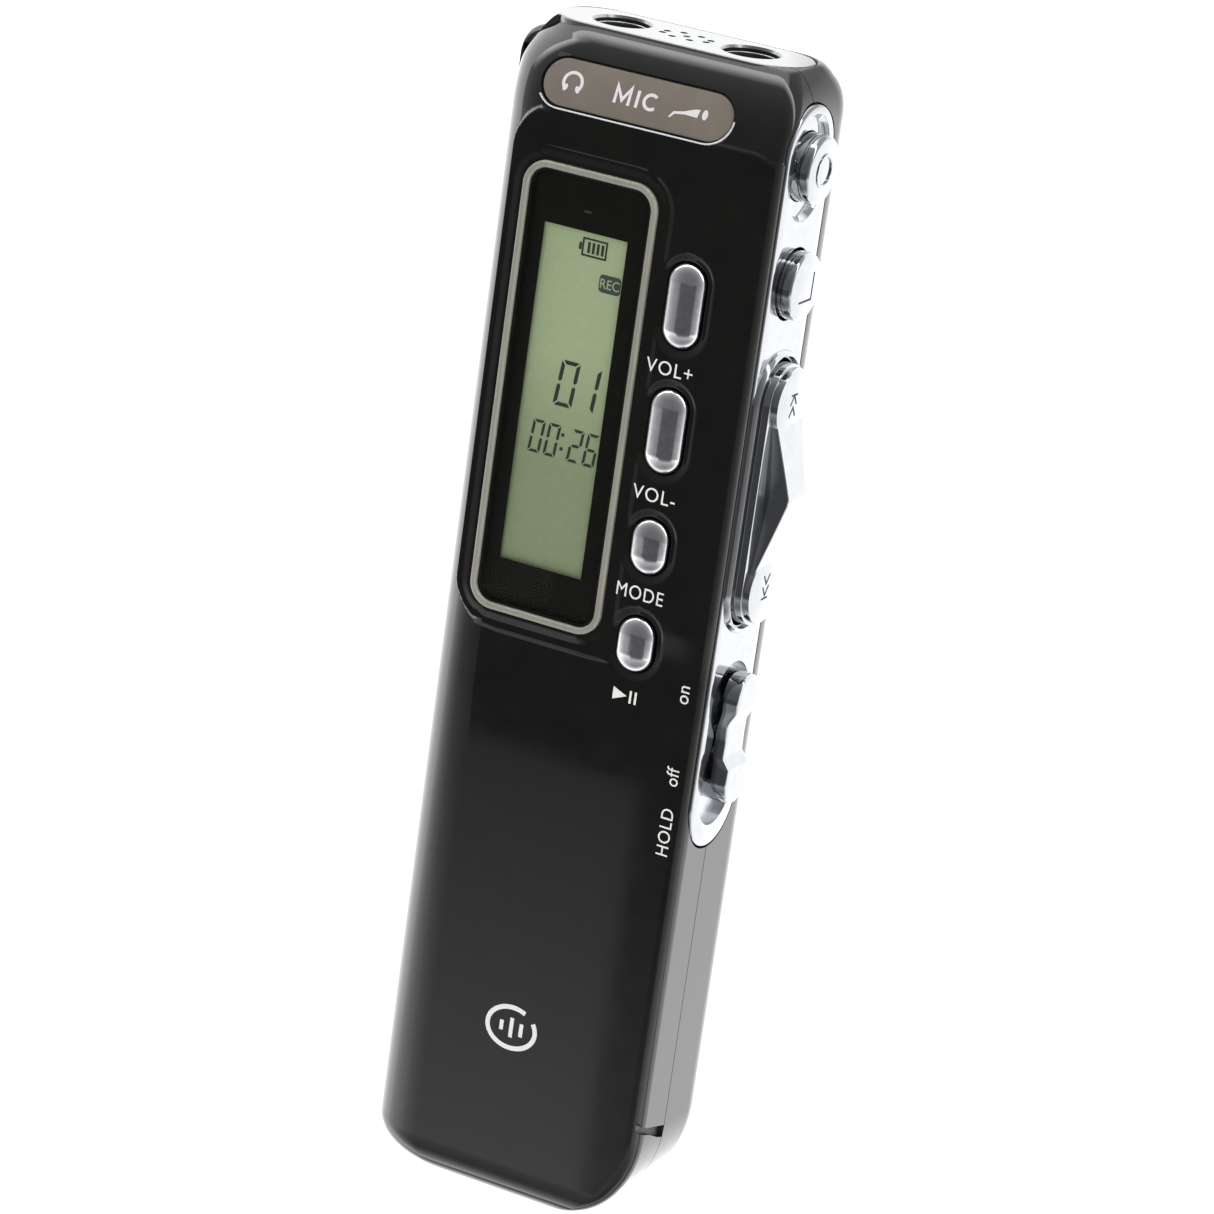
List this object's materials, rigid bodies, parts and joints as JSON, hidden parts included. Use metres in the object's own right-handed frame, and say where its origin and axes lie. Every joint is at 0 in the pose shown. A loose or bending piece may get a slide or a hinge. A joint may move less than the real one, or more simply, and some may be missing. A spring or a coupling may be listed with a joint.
{
  "type": "handheld voice recorder",
  "caption": "Slim pocket voice recorder with a small display, chrome front keys, side keys with a rocker and a hold switch, headphone and line sockets, and a sliding battery door.",
  "frame": {"origin": "middle of the flat back, under the centre of the casing", "axes": "+X towards the side keys, +Y towards the end with the sockets, +Z out of the display"},
  "size_m": [0.0304, 0.102, 0.0148],
  "materials": {
    "case_gloss_black": "high gloss",
    "case_side_black": "gloss",
    "chrome": "polished",
    "satin_silver": "satin",
    "bezel_champagne": "fine brushed",
    "clear_window": "polished",
    "window_border": "printed",
    "lcd_green_grey": "satin",
    "lcd_segments": "matte",
    "light_guide": "satin",
    "label_smoke": "gloss",
    "legend_white": "printed",
    "groove_dark": "matte",
    "silicone": "matte",
    "rubber_dark": "matte",
    "board_green": "satin",
    "chip_black": "satin",
    "tinned_metal": "satin",
    "gold_contact": "satin",
    "jack_black": "satin",
    "cell_wrap": "gloss",
    "spring_steel": "satin",
    "capacitor_body": "satin",
    "speaker_metal": "satin",
    "foam_grey": "matte",
    "lead_red": "satin",
    "lead_black": "satin",
    "lead_white": "satin"
  },
  "bodies": {
    "case": {"front_shell": "case_gloss_black", "rear_shell": "case_side_black", "side_trim": "chrome", "top_cap": "satin_silver", "display_bezel": "bezel_champagne", "display_lens": "clear_window", "display_mask": "window_border", "lcd_glass": "lcd_green_grey", "lcd_backlight": "light_guide", "lcd_connector": "rubber_dark", "label_plate": "label_smoke", "key_mat": "silicone", "rocker_pin": "tinned_metal", "main_board": "board_green", "front_switches": "tinned_metal", "side_switches": "tinned_metal", "hold_switch": "tinned_metal", "headphone_jack": "jack_black", "line_in_jack": "jack_black", "usb_socket": "tinned_metal", "microphone": "tinned_metal", "mic_boot": "rubber_dark", "speaker": "speaker_metal", "speaker_gasket": "foam_grey", "audio_chip": "chip_black", "flash_chip": "chip_black", "clock_crystal": "tinned_metal", "capacitors": "capacitor_body", "battery_a": "cell_wrap", "battery_b": "cell_wrap", "battery_terminals": "spring_steel", "battery_springs": "spring_steel", "battery_bridge": "spring_steel", "case_screws": "tinned_metal", "speaker_leads": "lead_red", "mic_leads": "lead_white", "battery_leads": "lead_black"},
    "volume_up_key": {"volume_up_key": "chrome"},
    "volume_down_key": {"volume_down_key": "chrome"},
    "mode_key": {"mode_key": "chrome"},
    "play_key": {"play_key": "chrome"},
    "record_key": {"record_key": "chrome"},
    "stop_key": {"stop_key": "chrome"},
    "skip_rocker": {"skip_rocker": "chrome"},
    "hold_knob": {"hold_knob": "chrome"},
    "battery_door": {"battery_door": "case_side_black"}
  },
  "joints": [
    {"name": "volume_up_press", "type": "slide", "parent": "case", "child": "volume_up_key", "axis": [0, 0, -1], "range_m": [0, 0.00035], "stiffness_N_per_m": 800, "springref_m": -0.0003},
    {"name": "volume_down_press", "type": "slide", "parent": "case", "child": "volume_down_key", "axis": [0, 0, -1], "range_m": [0, 0.00035], "stiffness_N_per_m": 800, "springref_m": -0.0003},
    {"name": "mode_press", "type": "slide", "parent": "case", "child": "mode_key", "axis": [0, 0, -1], "range_m": [0, 0.00035], "stiffness_N_per_m": 800, "springref_m": -0.0003},
    {"name": "play_press", "type": "slide", "parent": "case", "child": "play_key", "axis": [0, 0, -1], "range_m": [0, 0.00035], "stiffness_N_per_m": 800, "springref_m": -0.0003},
    {"name": "record_press", "type": "slide", "parent": "case", "child": "record_key", "axis": [-1, 0, 0], "range_m": [0, 0.0005], "stiffness_N_per_m": 800, "springref_m": -0.0003},
    {"name": "stop_press", "type": "slide", "parent": "case", "child": "stop_key", "axis": [-1, 0, 0], "range_m": [0, 0.0005], "stiffness_N_per_m": 800, "springref_m": -0.0003},
    {"name": "skip_tilt", "type": "hinge", "parent": "case", "child": "skip_rocker", "pos_m": [0.0121, 0.0161, 0.00905], "axis": [0, 0, 1], "range_deg": [-2.5, 2.5], "stiffness_Nm_per_rad": 0.4},
    {"name": "hold_slide", "type": "slide", "parent": "case", "child": "hold_knob", "axis": [0, -1, 0], "range_m": [0, 0.0019]},
    {"name": "door_slide", "type": "slide", "parent": "case", "child": "battery_door", "axis": [0, -1, 0], "range_m": [0, 0.05]}
  ]
}
